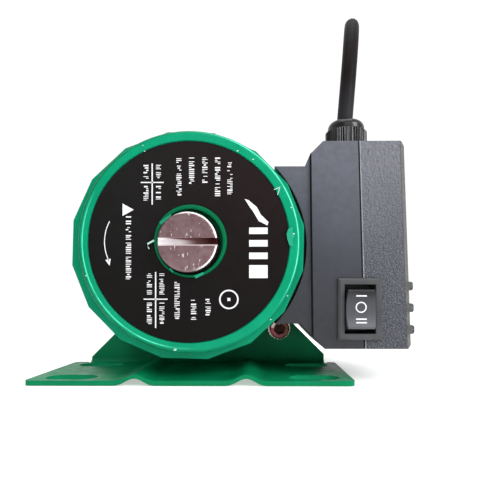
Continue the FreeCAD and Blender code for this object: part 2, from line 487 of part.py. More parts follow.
# ---- inside the box ----
NODES["capacitor"] = cyl_z(11.5, 30.0, 74.0, 68.0, 25.0)
clip = cyl_z(12.7, 36.0, 44.0, 68.0, 25.0).fuse(box(BOX_X0, 57.0, 20.0, 30.0, 36.0, 44.0))
NODES["capacitor_clip"] = clean(clip.cut(NODES["capacitor"]).common(cavity))
BLOCK_X, BLOCK_Y1, BLOCK_TOP = 54.5, 10.0, 68.0
NODES["terminal_block"] = box(BLOCK_X, 63.0, 0.0, BLOCK_Y1, 46.0, BLOCK_TOP).fuse(
    box(BOX_X0, BLOCK_X + 1, 0.0, BLOCK_Y1, 62.0, BLOCK_TOP)).common(cavity)
NODES["terminal_screws"] = Part.makeCompound(
    [cyl_x(1.8, 63.0, 64.2, BLOCK_Y1 / 2, z) for z in (49.5, 57.0, 64.5)])
NODES["motor_leads"] = Part.makeCompound([
    tube(((30.5, LEAD_Y, z), (54.8, LEAD_Y, z), (57.0, BLOCK_Y1 + 0.2, z)), 0.9, "motor lead")
    for z in (AXIS_Z - 2.6, AXIS_Z, AXIS_Z + 2.6)])
NODES["supply_leads"] = Part.makeCompound([
    tube(((GLAND_X + dx, GLAND_Y, 96.7), (66.0 + dx, 6.0, 84.0), (60.0 + dx, 5.0, 78.0),
          (58.5 + dx, 5.0, BLOCK_TOP + 0.15)), 0.9, "supply lead") for dx in (-2.0, 0.0, 2.0)])

# ---- cable gland ----
body = prism([(x, y, BOX_Z1) for x, y in polygon_xz(6, 10.4, GLAND_X, GLAND_Y)], V(0, 0, 3.0)).fuse(
    [cyl_z(THREAD_R, 94.0, 112.0, GLAND_X, GLAND_Y)])
NODES["gland_body"] = clean(body.cut(cyl_z(4.4, 93.0, 107.0, GLAND_X, GLAND_Y)).cut(
    cyl_z(5.9, 106.0, 113.0, GLAND_X, GLAND_Y)))
locknut = prism([(x, y, 94.4) for x, y in polygon_xz(6, 10.4, GLAND_X, GLAND_Y)],
                V(0, 0, BOX_Z1 - BOX_T - 94.4))
NODES["gland_locknut"] = locknut.cut(cyl_z(THREAD_R, 93.0, 99.0, GLAND_X, GLAND_Y))
NODES["gland_seal"] = cyl_z(5.9, 107.0, SEAL_TOP, GLAND_X, GLAND_Y).cut(
    cyl_z(CORD_R, 106.0, 116.0, GLAND_X, GLAND_Y))
NODES["cord_inlet"] = cyl_z(CORD_R, 97.0, SEAL_TOP, GLAND_X, GLAND_Y)
grip = []
for k in range(KNURLS):
    a = 2 * math.pi * k / KNURLS
    smooth = (k + SMOOTH / 2) % SMOOTH_EVERY < SMOOTH
    r = NUT_R if smooth or k % 2 else NUT_R - KNURL_D
    grip.append((GLAND_X + r * math.cos(a), GLAND_Y + r * math.sin(a), NUT_Z0))
nut = prism(grip, V(0, 0, NUT_Z1 - NUT_Z0)).common(
    Part.makeCone(NUT_R + 13.0, NUT_R - 1.0, NUT_Z1 - NUT_Z0, V(GLAND_X, GLAND_Y, NUT_Z0), EZ))
dome_r, dome_round = 8.5, 3.3
dome = cyl_z(dome_r, NUT_Z1 - 0.5, DOME_TOP, GLAND_X, GLAND_Y)
crown = [e for e in dome.Edges if e.Closed and abs(e.BoundBox.ZMin - DOME_TOP) < 1e-3]
nut = nut.fuse(dome.makeFillet(dome_round, crown))
for r, z0, z1 in ((THREAD_R, NUT_Z0 - 1, 112.0), (5.9, 111.0, SEAL_TOP),
                  (CORD_R + 1.15, 110.0, DOME_TOP + 1)):
    nut = nut.cut(cyl_z(r, z0, z1, GLAND_X, GLAND_Y))
NODES["gland_nut"] = clean(nut)

# ---- power cord, coil and plug ----
NODES["power_cord"] = tube(CORD_POINTS, CORD_R, "cord")
coil_top = COIL_Z0 + COIL_PITCH * COIL_TURNS + 2 * CORD_R
NODES["cord_coil"] = cyl_z(COIL_R + CORD_R, COIL_Z0, coil_top, COIL_X, COIL_Y).cut(
    cyl_z(COIL_R - CORD_R, COIL_Z0 - 1, coil_top + 1, COIL_X, COIL_Y))
plug_z, plug_y, plug_x = coil_top + PLUG_BODY_R + 0.2, COIL_Y + 28.0, COIL_X + 12.0
grip_len = 22.0
sleeve = Part.makeCone(CORD_R + 1.2, 8.0, grip_len, V(plug_x, plug_y, plug_z), EX)
head = cyl_x(PLUG_BODY_R, plug_x + grip_len, plug_x + grip_len + PLUG_LEN, plug_y, plug_z)
ends = [e for e in head.Edges if e.Closed]
NODES["mains_plug"] = clean(head.makeFillet(3.0, ends[:1]).fuse(sleeve))
pin_x = plug_x + grip_len + PLUG_LEN
NODES["plug_pins"] = Part.makeCompound(
    [cyl_x(PIN_R, pin_x, pin_x + PIN_L, plug_y + dy, plug_z) for dy in (-PIN_GAP / 2, PIN_GAP / 2)])

for name, shape in NODES.items():
    shape.exportStep("parts/" + name + ".step")
print(len(NODES), "nodes")
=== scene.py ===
import bpy
import json
import math
import random
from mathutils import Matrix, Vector


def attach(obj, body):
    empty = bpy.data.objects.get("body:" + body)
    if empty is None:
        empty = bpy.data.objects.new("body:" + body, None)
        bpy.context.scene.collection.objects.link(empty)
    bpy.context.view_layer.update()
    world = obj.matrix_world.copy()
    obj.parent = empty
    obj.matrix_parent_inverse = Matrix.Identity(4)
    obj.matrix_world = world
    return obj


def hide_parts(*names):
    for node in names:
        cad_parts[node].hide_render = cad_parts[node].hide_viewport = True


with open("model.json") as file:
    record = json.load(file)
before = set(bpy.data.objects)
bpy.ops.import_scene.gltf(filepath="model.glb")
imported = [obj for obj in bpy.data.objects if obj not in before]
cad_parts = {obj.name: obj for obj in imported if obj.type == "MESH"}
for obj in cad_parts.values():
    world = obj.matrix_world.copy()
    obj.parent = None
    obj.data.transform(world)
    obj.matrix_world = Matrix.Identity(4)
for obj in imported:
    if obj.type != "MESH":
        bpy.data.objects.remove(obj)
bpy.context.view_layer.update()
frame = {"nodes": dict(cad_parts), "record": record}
MM = 0.001
random.seed(7)

# ---------------------------------------------------------------- places on the model, in mm
PLUG_X, PLUG_Z, PLUG_R, PLUG_FACE = -0.55, 57.0, 11.8, -29.5
PLUG_BEVEL, BEVEL_DEPTH, SLOT_HALF, SLOT_START, SLOT_REACH = 0.6, 0.85, 1.6, 0.3, 12.0
SLOT_LIGHT_LEFT, SLOT_LIGHT_RIGHT = 1.75, 0.7                           # how high the painted light reaches up the slot, at its left and right
BOX_LOW, BOX_TOP, BOX_FRONT = 14.0, 100.0, -18.0
BOX_STRIP_REACH = 2.6                                       # how far back from the front the strips go
BOLT_XZ, SOCKET_R, SOCKET_Y = 37.5, 2.92, 20.3
GLINT_IN, GLINT_OUT = (2.9, 3.1), (4.0, 4.3)                  # radii where the painted glint on the bolt's shoulder fades in and out
GLAND_X, GLAND_Y, KNURL_TIP = 68.5, 9.0, 9.58
# where the painted sheen lies on the cord near the gland, in mm
SHEEN_LOW, SHEEN_HIGH, SHEEN_BACK = 122.0, 140.0, 20.0
RING_X, RING_Z, RING_BACK = -0.6, 57.5, -20.0
COLLAR_X, COLLAR_Z, COLLAR_R = 0.2, 57.8, 15.0
LABEL_FACE, RIM_FACE, CURL_FACE, FLASH_FACE = -24.66, -25.1, -25.4, -25.45
ROCKER_X, ROCKER_Z, ROCKER_TIP, DISH_Y, DISH_DEPTH = 68.9, 30.5, 7.2, -21.4, 1.5
ROCKER_LOW, ROCKER_HIGH = 23.0, 38.0
MARK_LIFT = 0.06                                            # how far the marks stand off the rocker
CORD_R, SEAL_TOP = 3.65, 114.2
COIL_X, COIL_Y, COIL_R, COIL_PITCH, COIL_TURNS = -16.0, 144.0, 38.0, 7.7, 3
COIL_LOW, TAIL_IN, TAIL_RISE = 4.05, 10.0, 20.85            # the cord's end leaves the coil inward and up

# ---------------------------------------------------------------- colours used in more than one place
# painted shade over the green paint inside the collar
COLLAR_SHADE = (0.001, 0.135, 0.052)
# painted shade: dark strips in the step along the box front's left edge and in the seam
SHADE_LINE = (0.002, 0.002, 0.003)
BASE_LINES = ((49.0, 1.0, -0.55, 0.1, SHADE_LINE), (69.0, 2.4, -0.65, 0.05, SHADE_LINE))
# a painted highlight right of the seam, and a painted shade line and painted light on the cover's right
# chamfer
COVER_LINES = ((69.0, 2.4, 0.0, 0.45, (0.24, 0.25, 0.28)), (88.0, 3.0, -2.4, -2.1, (0.030, 0.031, 0.036)),
               (88.0, 3.0, -2.1, 0.0, (0.068, 0.065, 0.061)))

# ---------------------------------------------------------------- camera
cam_data = bpy.data.cameras.new("photo_camera")
cam_data.sensor_width = 36.0
cam_data.lens = 32.0
cam_data.shift_x = -0.014
cam_data.shift_y = 0.0908
cam_data.clip_start = 0.01
camera = bpy.data.objects.new("photo_camera", cam_data)
bpy.context.scene.collection.objects.link(camera)
camera.location = (0.02856, -0.20193, 0.0358)
camera.rotation_euler = (math.radians(90.1), 0.0, math.radians(0.59))
bpy.context.scene.camera = camera
bpy.context.scene.view_settings.view_transform = "Standard"


# ---------------------------------------------------------------- node helpers
class Mat:
    """A small builder for one procedural material. Its lengths are in metres unless they say mm."""

    def __init__(self, name):
        self.mat = bpy.data.materials.new(name)
        self.mat.use_nodes = True
        self.tree = self.mat.node_tree
        self.tree.nodes.clear()
        self.out = self.tree.nodes.new("ShaderNodeOutputMaterial")
        self.bsdf = self.tree.nodes.new("ShaderNodeBsdfPrincipled")
        self.link(self.bsdf.outputs[0], self.out.inputs["Surface"])
        self.coord = self.tree.nodes.new("ShaderNodeTexCoord").outputs["Object"]

    def link(self, a, b):
        self.tree.links.new(a, b)

    def set(self, **values):
        for key, value in values.items():
            self.bsdf.inputs[key.replace("_", " ")].default_value = value
        return self

    def stretch(self, scale):
        """The object's own coordinates, scaled by a different amount along each axis."""
        node = self.tree.nodes.new("ShaderNodeMapping")
        node.inputs["Scale"].default_value = scale
        self.link(self.coord, node.inputs["Vector"])
        return node.outputs[0]

    def noise(self, scale, detail=4.0, rough=0.55, vector=None):
        node = self.tree.nodes.new("ShaderNodeTexNoise")
        node.inputs["Scale"].default_value = scale
        node.inputs["Detail"].default_value = detail
        node.inputs["Roughness"].default_value = rough
        self.link(vector or self.coord, node.inputs["Vector"])
        return node.outputs["Fac"]

    def axes(self):
        node = self.tree.nodes.new("ShaderNodeSeparateXYZ")
        self.link(self.coord, node.inputs[0])
        return node.outputs

    def calc(self, kind, a, b=0.0):
        node = self.tree.nodes.new("ShaderNodeMath")
        node.operation = kind
        self.feed(node.inputs[0], a)
        self.feed(node.inputs[1], b)
        return node.outputs[0]

    def distance(self, x, z):
        """Distance from the line along y through x, z (given in mm)."""
        own_x, _, own_z = self.axes()
        return self.length(self.calc("SUBTRACT", own_x, x * MM), self.calc("SUBTRACT", own_z, z * MM))

    def length(self, a, b):
        """Length of the flat vector a, b."""
        squares = self.calc("ADD", self.calc("MULTIPLY", a, a), self.calc("MULTIPLY", b, b))
        return self.calc("POWER", squares, 0.5)

    def ramp(self, value, stops):
        node = self.tree.nodes.new("ShaderNodeValToRGB")
        ramp = node.color_ramp
        while len(ramp.elements) < len(stops):
            ramp.elements.new(0.5)
        for element, (place, colour) in zip(ramp.elements, stops):
            element.position = place
            element.color = (*colour, 1.0)
        self.link(value, node.inputs["Fac"])
        return node.outputs["Color"]

    def band(self, value, low, high, to_low, to_high):
        """value mapped from low..high to to_low..to_high, and clamped."""
        node = self.tree.nodes.new("ShaderNodeMapRange")
        for key, v in zip(("From Min", "From Max", "To Min", "To Max"), (low, high, to_low, to_high)):
            node.inputs[key].default_value = v
        self.link(value, node.inputs["Value"])
        return node.outputs["Result"]

    def mix(self, factor, a, b):
        node = self.tree.nodes.new("ShaderNodeMix")
        node.data_type = "RGBA"
        self.feed(node.inputs[0], factor)
        self.feed(node.inputs[6], a)
        self.feed(node.inputs[7], b)
        return node.outputs[2]

    def feed(self, socket, value):
        """Put a number, a colour or another node's output on a socket."""
        if isinstance(value, (int, float)):
            socket.default_value = value
        elif isinstance(value, tuple):
            socket.default_value = (*value, 1.0)
        else:
            self.link(value, socket)

    def colour(self, source):
        self.feed(self.bsdf.inputs["Base Color"], source)
        return self

    def rough(self, source):
        self.feed(self.bsdf.inputs["Roughness"], source)
        return self

    def bump(self, height, distance, strength=1.0, edge=0.0):
        node = self.tree.nodes.new("ShaderNodeBump")
        node.inputs["Strength"].default_value = strength
        node.inputs["Distance"].default_value = distance
        self.link(height, node.inputs["Height"])
        if edge:
            bevel = self.tree.nodes.new("ShaderNodeBevel")
            bevel.samples = 4
            bevel.inputs["Radius"].default_value = edge
            self.link(bevel.outputs[0], node.inputs["Normal"])
        self.link(node.outputs[0], self.bsdf.inputs["Normal"])
        return self


def paint(name, light, dark, rough=(0.28, 0.42), edge=0.0005):
    """Plain green paint."""
    m = Mat(name)
    m.colour(m.ramp(m.noise(60.0, 5.0), [(0.35, dark), (0.7, light)]))
    m.rough(m.band(m.noise(220.0), 0.3, 0.7, *rough))
    m.bump(m.noise(420.0, 3.0), 0.00006, 0.35, edge)
    return m.set(Specular_IOR_Level=0.08).mat


def ring_paint(name, light, dark, groove, shine):
    """The motor's paint, with painted shade in the collar and the groove round the ring, and painted
    highlights on its edges.

    groove (painted shade) and each shine (painted highlight) are a ring: middle radius, half width,
    where it is strongest and how far it reaches (degrees), and a colour.
    """
    m = Mat(name)
    coat = m.ramp(m.noise(60.0, 5.0), [(0.35, dark), (0.7, light)])
    # painted shade inside the collar
    coat = m.mix(m.calc("LESS_THAN", m.distance(COLLAR_X, COLLAR_Z), COLLAR_R * MM), coat, COLLAR_SHADE)
    x, y, z = m.axes()
    radius = m.distance(RING_X, RING_Z)
    dx, dz = m.calc("SUBTRACT", x, RING_X * MM), m.calc("SUBTRACT", z, RING_Z * MM)
    front = m.calc("LESS_THAN", y, RING_BACK * MM)
    # painted shade in the groove and painted highlights on the ring's edges, each strongest toward one side
    for middle, half, toward, spread, tint in (groove, shine[0], shine[1]):
        off = m.calc("ABSOLUTE", m.calc("SUBTRACT", radius, middle * MM))
        line = m.calc("MULTIPLY", m.calc("LESS_THAN", off, half * MM), front)
        a = math.radians(toward)
        along = m.calc("ADD", m.calc("MULTIPLY", dx, math.cos(a)), m.calc("MULTIPLY", dz, math.sin(a)))
        along = m.calc("DIVIDE", along, radius)
        fade = m.band(along, math.cos(math.radians(spread)), math.cos(math.radians(spread * 0.6)), 0.0, 1.0)
        # patches in which the painted shade and highlights are weaker
        painted_light_patch = m.band(m.noise(150.0, 3.0), 0.35, 0.55, 0.45, 1.0)
        coat = m.mix(m.calc("MULTIPLY", line, m.calc("MULTIPLY", fade, painted_light_patch)), coat, tint)
    m.colour(coat)
    m.rough(m.band(m.noise(220.0), 0.3, 0.7, 0.26, 0.40))
    m.bump(m.noise(420.0, 3.0), 0.00006, 0.35, 0.0009)
    return m.set(Specular_IOR_Level=0.08).mat


def plastic(name, light, dark, rough, grain=900.0, depth=0.00003, edge=0.0005, gloss=0.25):
    """Plain moulded plastic, rubber or ceramic, with a fine grain."""
    m = Mat(name)
    m.colour(m.ramp(m.noise(45.0, 6.0), [(0.3, dark), (0.72, light)]))
    m.rough(m.band(m.noise(160.0), 0.3, 0.7, *rough))
    m.bump(m.noise(grain, 4.0), depth, 0.6, edge)
    return m.set(Specular_IOR_Level=gloss).mat


def metal(name, light, dark, rough, scale=(400.0, 400.0, 400.0), edge=0.0003):
    """Bare metal with a grain, drawn out along an axis where its scale is small."""
    m = Mat(name)
    lines = m.noise(1.0, 5.0, 0.6, m.stretch(scale))
    m.colour(m.ramp(lines, [(0.3, dark), (0.7, light)]))
    m.rough(m.band(lines, 0.3, 0.7, *rough))
    m.bump(lines, 0.00004, 0.4, edge)
    return m.set(Metallic=1.0).mat


def box_plastic(name, top, middle, bottom, grain, depth, strength, gloss, lines, specks=0.0):
    """Moulded box plastic, paler towards the top and darker towards the bottom: painted light from above.

    lines are painted shade and painted highlight strips along the leaning edges near the front: x at the top,
    drift to the bottom, first and last distance to the right of that edge, and a colour. specks adds
    painted highlight flecks and painted shade flecks on the grain.
    """
    m = Mat(name)
    x, y, z = m.axes()
    height = m.band(z, BOX_LOW * MM, BOX_TOP * MM, 0.0, 1.0)
    # painted light from above: paler towards the top, darker towards the bottom
    shade = m.ramp(m.calc("ADD", height, m.band(m.noise(28.0, 5.0), 0.3, 0.7, -0.09, 0.09)),
                   [(0.12, bottom), (0.52, middle), (0.88, top)])
    relief = m.noise(1.0, 3.0, 0.6, m.stretch(grain))
    shade = m.mix(m.band(relief, 0.35, 0.65, 0.0, 0.35), shade, tuple(c * 0.6 for c in middle))
    if specks:
        # painted highlight flecks and painted shade flecks on the grain, weaker towards the top
        fine = m.noise(1.0, 2.0, 0.7, m.stretch((1500.0, 1500.0, 1900.0)))
        shown = m.band(height, 1.0, 0.6, 0.35 * specks, specks)
        speck_highlight = m.calc("MULTIPLY", m.band(fine, 0.50, 0.68, 0.0, 1.0), shown)
        speck_shade = m.calc("MULTIPLY", m.band(fine, 0.47, 0.34, 0.0, 0.8), shown)
        shade = m.mix(speck_highlight, shade, tuple(c * 3.0 for c in middle))
        shade = m.mix(speck_shade, shade, tuple(c * 0.35 for c in middle))
    front = m.calc("LESS_THAN", y, (BOX_FRONT + BOX_STRIP_REACH) * MM)
    matte = 0.0
    for edge_x, drift, first, last, colour in lines:
        leaning = m.band(z, BOX_LOW * MM, BOX_TOP * MM, (edge_x + drift) * MM, edge_x * MM)
        side = m.calc("SUBTRACT", x, leaning)
        strip = m.calc("MULTIPLY", m.calc("GREATER_THAN", side, first * MM),
                       m.calc("LESS_THAN", side, last * MM))
        strip = m.calc("MULTIPLY", strip, front)
        # painted shade and painted highlight strips along the edges
        shade = m.mix(strip, shade, colour)
        if colour is SHADE_LINE:
            matte = m.calc("MAXIMUM", strip, matte)
    m.colour(shade)
    m.rough(m.calc("MAXIMUM", m.band(relief, 0.3, 0.7, 0.32, 0.46), matte))
    m.bump(relief, depth, strength, 0.0005)
    return m.set(Specular_IOR_Level=gloss).mat


def vent_metal(name):
    """Plug with a scratched mauve face, a painted highlight on the right of its bevel, and a slot with
    painted light at its left and painted shade at its right.
    """
    m = Mat(name)
    x, y, z = m.axes()
    face = m.ramp(m.noise(240.0, 6.0, 0.65), [(0.35, (0.225, 0.132, 0.142)), (0.7, (0.33, 0.225, 0.232))])
    scratch = m.noise(1.0, 2.0, 0.5, m.stretch((1100.0, 900.0, 420.0)))
    face = m.mix(m.band(scratch, 0.665, 0.70, 0.0, 0.85), face, (0.85, 0.80, 0.80))
    dx, dz = m.calc("SUBTRACT", x, PLUG_X * MM), m.calc("SUBTRACT", z, PLUG_Z * MM)
    radius = m.distance(PLUG_X, PLUG_Z)
    # painted highlight on the right of the bevel
    side = m.calc("ADD", m.calc("MULTIPLY", dx, 0.93), m.calc("MULTIPLY", dz, 0.37))
    painted_light_patch = m.calc("MULTIPLY", m.calc("GREATER_THAN", radius, (PLUG_R - PLUG_BEVEL) * MM),
                  m.band(side, -0.002, 0.003, 0.0, 1.0))
    painted_light_patch = m.calc("MULTIPLY", painted_light_patch, m.calc("LESS_THAN", y, (PLUG_FACE + BEVEL_DEPTH) * MM))
    deep = m.calc("MULTIPLY", m.calc("GREATER_THAN", y, (PLUG_FACE + SLOT_START) * MM),
                  m.calc("LESS_THAN", m.calc("ABSOLUTE", dz), SLOT_HALF * MM))
    # painted light at the left of the slot and painted shade at its right
    along = m.band(x, -SLOT_REACH * MM, SLOT_REACH * MM, 0.0, 1.0)
    slot_light = m.ramp(along, [(0.0, (1.0, 0.98, 1.0)), (0.36, (0.85, 0.76, 0.78)), (0.62, (0.30, 0.19, 0.20))])
    height = m.calc("SUBTRACT", m.band(along, 0.05, 0.55, SLOT_LIGHT_LEFT * MM, SLOT_LIGHT_RIGHT * MM), dz)
    lit = m.calc("MULTIPLY", m.band(height, -0.2 * MM, 0.2 * MM, 0.0, 1.0),
                 m.band(along, 0.44, 0.64, 1.0, 0.0))
    slot = m.mix(lit, m.ramp(along, [(0.5, (0.20, 0.10, 0.10)), (0.85, (0.045, 0.010, 0.010))]), slot_light)
    # painted highlight along the slot's lower edge
    slot = m.mix(m.band(dz, -0.95 * MM, -0.75 * MM, 1.0, 0.0), slot, (0.85, 0.72, 0.75))
    # painted glare in the lit part of the slot
    slot_glare = m.calc("MULTIPLY", m.calc("MULTIPLY", deep, lit), m.band(along, 0.0, 0.45, 1.0, 0.0))
    bright = m.calc("MAXIMUM", painted_light_patch, slot_glare)
    m.colour(m.mix(painted_light_patch, m.mix(deep, face, slot), (0.95, 0.90, 0.92)))
    m.rough(m.band(scratch, 0.3, 0.7, 0.36, 0.42))
    m.feed(m.bsdf.inputs["Metallic"], m.band(bright, 0.0, 1.0, 1.0, 0.35))
    m.bump(scratch, 0.00004, 0.5, 0.0003)
    return m.mat


def bolt_metal(name):
    """Yellow-zinc screw heads gone brown, with painted shade inside the socket and painted glints in it and
    on the shoulder.
    """
    m = Mat(name)
    x, y, z = m.axes()
    dx = m.calc("SUBTRACT", m.calc("ABSOLUTE", x), BOLT_XZ * MM)
    dz = m.calc("SUBTRACT", m.calc("ABSOLUTE", m.calc("SUBTRACT", z, PLUG_Z * MM)), BOLT_XZ * MM)
    radius = m.length(dx, dz)
    toward = m.calc("ADD", m.calc("MULTIPLY", dx, -0.8), m.calc("MULTIPLY", dz, -0.6))
    skin = m.ramp(m.band(dx, -0.004, 0.004, 0.0, 1.0),
                  [(0.1, (0.16, 0.045, 0.055)), (0.9, (0.075, 0.032, 0.020))])
    # painted glint on the shoulder
    shoulder_glint = m.calc("MULTIPLY", m.band(radius, *(r * MM for r in GLINT_IN), 0.0, 1.0),
                  m.band(radius, *(r * MM for r in GLINT_OUT), 1.0, 0.0))
    shoulder_glint = m.calc("MULTIPLY", shoulder_glint, m.band(m.calc("DIVIDE", toward, radius), 0.86, 0.96, 0.0, 1.0))
    skin = m.mix(shoulder_glint, skin, (0.95, 0.90, 0.80))
    # painted shade inside the socket, with a painted glint in it
    socket = m.calc("MULTIPLY", m.calc("LESS_THAN", radius, SOCKET_R * MM),
                    m.calc("GREATER_THAN", y, SOCKET_Y * MM))
    glint = m.calc("MULTIPLY", m.band(m.noise(620.0, 2.0), 0.60, 0.64, 0.0, 1.0),
                   m.band(dz, -0.0022, -0.0008, 1.0, 0.0))
    m.colour(m.mix(socket, skin, m.mix(glint, (0.014, 0.005, 0.003), (0.75, 0.62, 0.42))))
    m.rough(m.band(m.noise(700.0), 0.3, 0.7, 0.2, 0.34))
    m.feed(m.bsdf.inputs["Metallic"], m.band(shoulder_glint, 0.0, 1.0, 0.9, 0.2))
    m.bump(m.noise(700.0), 0.00004, 0.4, 0.0004)
    return m.mat


def rocker_plastic(name):
    """Smooth black rocker, paler towards its lower half: painted light where its hollow face turns upward,
    painted shade above.
    """
    m = Mat(name)
    level = m.calc("ADD", m.axes()[2], m.band(m.noise(120.0), 0.3, 0.7, -0.001, 0.001))
    # painted light low on the hollow face, painted shade at its top
    m.colour(m.ramp(m.band(level, ROCKER_LOW * MM, ROCKER_HIGH * MM, 0.0, 1.0),
                    [(0.0, (0.105, 0.107, 0.120)), (0.45, (0.064, 0.066, 0.074)),
                     (0.85, (0.036, 0.037, 0.041)), (0.97, (0.014, 0.014, 0.016))]))
    m.rough(m.band(m.noise(160.0), 0.3, 0.7, 0.26, 0.36))
    m.bump(m.noise(900.0), 0.00001, 0.6, 0.0005)
    return m.set(Specular_IOR_Level=0.25).mat


def gland_nylon(name):
    """Black nylon nut with pale upright streaks on its knurl's ridges: painted highlights."""
    m = Mat(name)
    x, y, _ = m.axes()
    reach = m.length(m.calc("SUBTRACT", x, GLAND_X * MM), m.calc("SUBTRACT", y, GLAND_Y * MM))
    # painted highlights in upright streaks on the knurl's ridges
    streak = m.band(m.noise(1.0, 2.0, 0.5, m.stretch((1300.0, 1300.0, 25.0))), 0.54, 0.60, 0.0, 0.9)
    tip_highlight = m.calc("MULTIPLY", m.calc("GREATER_THAN", reach, KNURL_TIP * MM), streak)
    black = m.ramp(m.noise(45.0, 6.0), [(0.3, (0.0030, 0.0030, 0.0036)), (0.72, (0.0060, 0.0060, 0.0075))])
    m.colour(m.mix(tip_highlight, black, (0.22, 0.22, 0.24)))
    m.rough(m.band(m.noise(160.0), 0.3, 0.7, 0.20, 0.28))
    m.bump(m.noise(500.0), 0.00001, 0.6, 0.0003)
    return m.set(Specular_IOR_Level=0.36).mat


def cord_rubber(name):
    """Black cord sheath, brownish, with a painted grey sheen where it leaves the gland."""
    m = Mat(name)
    _, y, z = m.axes()
    black = m.ramp(m.noise(45.0, 6.0), [(0.3, (0.0050, 0.0036, 0.0033)), (0.72, (0.0080, 0.0058, 0.0055))])
    # painted sheen near the gland
    sheen_mask = m.calc("MULTIPLY", m.band(z, SHEEN_LOW * MM, SHEEN_HIGH * MM, 0.9, 0.0),
                     m.calc("LESS_THAN", y, SHEEN_BACK * MM))
    m.colour(m.mix(sheen_mask, black, (0.024, 0.023, 0.027)))
    m.rough(m.band(m.noise(160.0), 0.3, 0.7, 0.42, 0.55))
    m.bump(m.noise(1200.0), 0.00002, 0.6)
    return m.set(Specular_IOR_Level=0.06).mat


def printed_film(name):
    """The black name plate film: neutral at the left, a warm cast at the right, and painted shade making it
    darkest low down.
    """
    m = Mat(name)
    x, _, z = m.axes()
    across = m.ramp(m.band(x, -0.04, 0.04, 0.0, 1.0),
                    [(0.2, (0.0085, 0.0080, 0.0078)), (0.9, (0.0110, 0.0058, 0.0062))])
    # painted shade low down on the film
    down = m.band(m.calc("ADD", z, m.band(m.noise(30.0), 0.3, 0.7, -0.008, 0.008)), 0.02, 0.08, 0.0, 1.0)
    m.colour(m.mix(down, (0.0035, 0.0030, 0.0026), across))
    m.rough(m.band(m.noise(300.0), 0.3, 0.7, 0.34, 0.48))
    m.bump(m.noise(300.0), 0.00001, 0.6)
    return m.set(Specular_IOR_Level=0.10).mat


MATERIALS = {
    # green_paint: painted shade in the groove and collar, painted highlights on the ring's edges
    "green_paint": ring_paint("green_paint", (0.002, 0.285, 0.145), (0.001, 0.235, 0.115),
                              (44.15, 0.75, 195.0, 110.0, (0.001, 0.150, 0.062)),
                              ((42.6, 0.22, 212.0, 62.0, (0.10, 0.72, 0.48)),
                               (43.9, 0.20, 25.0, 62.0, (0.12, 0.75, 0.52)))),
    "green_sheet": paint("green_sheet", (0.002, 0.22, 0.092), (0.001, 0.17, 0.066), (0.3, 0.45)),
    "casing_iron": paint("casing_iron", (0.003, 0.20, 0.10), (0.002, 0.15, 0.07), (0.4, 0.6)),
    "label_film": printed_film("label_film"),
    "plug_metal": vent_metal("plug_metal"),
    "seal_rubber": plastic("seal_rubber", (0.02, 0.02, 0.02), (0.01, 0.01, 0.01), (0.6, 0.8)),
    "lamination": metal("lamination", (0.42, 0.43, 0.45), (0.25, 0.26, 0.28), (0.35, 0.5),
                        (20.0, 2500.0, 20.0)),
    "copper_wire": metal("copper_wire", (0.80, 0.36, 0.16), (0.55, 0.22, 0.08), (0.3, 0.45),
                         (900.0, 900.0, 900.0)),
    "stainless": metal("stainless", (0.66, 0.66, 0.64), (0.50, 0.50, 0.49), (0.22, 0.36)),
    "ceramic": plastic("ceramic", (0.80, 0.77, 0.70), (0.72, 0.69, 0.62), (0.15, 0.25)),
    "carbon": plastic("carbon", (0.05, 0.05, 0.055), (0.02, 0.02, 0.025), (0.3, 0.45)),
    "rotor_sleeve": metal("rotor_sleeve", (0.58, 0.58, 0.59), (0.42, 0.42, 0.43), (0.2, 0.35),
                          (30.0, 900.0, 30.0)),
    "impeller_plastic": plastic("impeller_plastic", (0.52, 0.50, 0.44), (0.40, 0.38, 0.33), (0.4, 0.55)),
    "gasket_fibre": plastic("gasket_fibre", (0.34, 0.31, 0.25), (0.24, 0.21, 0.16), (0.8, 0.95)),
    "zinc_yellow": bolt_metal("zinc_yellow"),
    "zinc_bright": metal("zinc_bright", (0.60, 0.58, 0.52), (0.40, 0.38, 0.35), (0.22, 0.36)),
    # top, middle and bottom colours: painted light from above
    "box_base_plastic": box_plastic("box_base_plastic", (0.090, 0.093, 0.120), (0.041, 0.044, 0.060),
                                    (0.0095, 0.0102, 0.0145), (420.0, 420.0, 420.0), 0.00006, 0.5, 0.5,
                                    BASE_LINES),
    "box_cover_plastic": box_plastic("box_cover_plastic", (0.146, 0.149, 0.180), (0.050, 0.054, 0.072),
                                     (0.015, 0.017, 0.024), (1050.0, 1050.0, 700.0), 0.0015, 1.0, 0.7,
                                     COVER_LINES, 1.0),
    "switch_plastic": plastic("switch_plastic", (0.078, 0.079, 0.084), (0.052, 0.053, 0.057), (0.30, 0.42),
                              900.0, 0.00002),
    "rocker_plastic": rocker_plastic("rocker_plastic"),
    "contact_brass": metal("contact_brass", (0.78, 0.60, 0.28), (0.60, 0.44, 0.18), (0.2, 0.35)),
    "capacitor_case": plastic("capacitor_case", (0.78, 0.78, 0.75), (0.70, 0.70, 0.67), (0.2, 0.3)),
    "block_plastic": plastic("block_plastic", (0.76, 0.73, 0.64), (0.66, 0.63, 0.54), (0.4, 0.55)),
    "wire_sheath": plastic("wire_sheath", (0.36, 0.09, 0.07), (0.26, 0.05, 0.04), (0.35, 0.5)),
    "gland_nylon": gland_nylon("gland_nylon"),
    "cord_sheath": cord_rubber("cord_sheath"),
    "plug_plastic": plastic("plug_plastic", (0.024, 0.024, 0.026), (0.015, 0.015, 0.017), (0.35, 0.5)),
    "pin_metal": metal("pin_metal", (0.76, 0.74, 0.68), (0.62, 0.60, 0.54), (0.15, 0.28)),
}
for part in frame["record"]["subparts"]:
    node = frame["nodes"][part["node"]]
    node.data.materials.clear()
    node.data.materials.append(MATERIALS[part["material_slot"]])


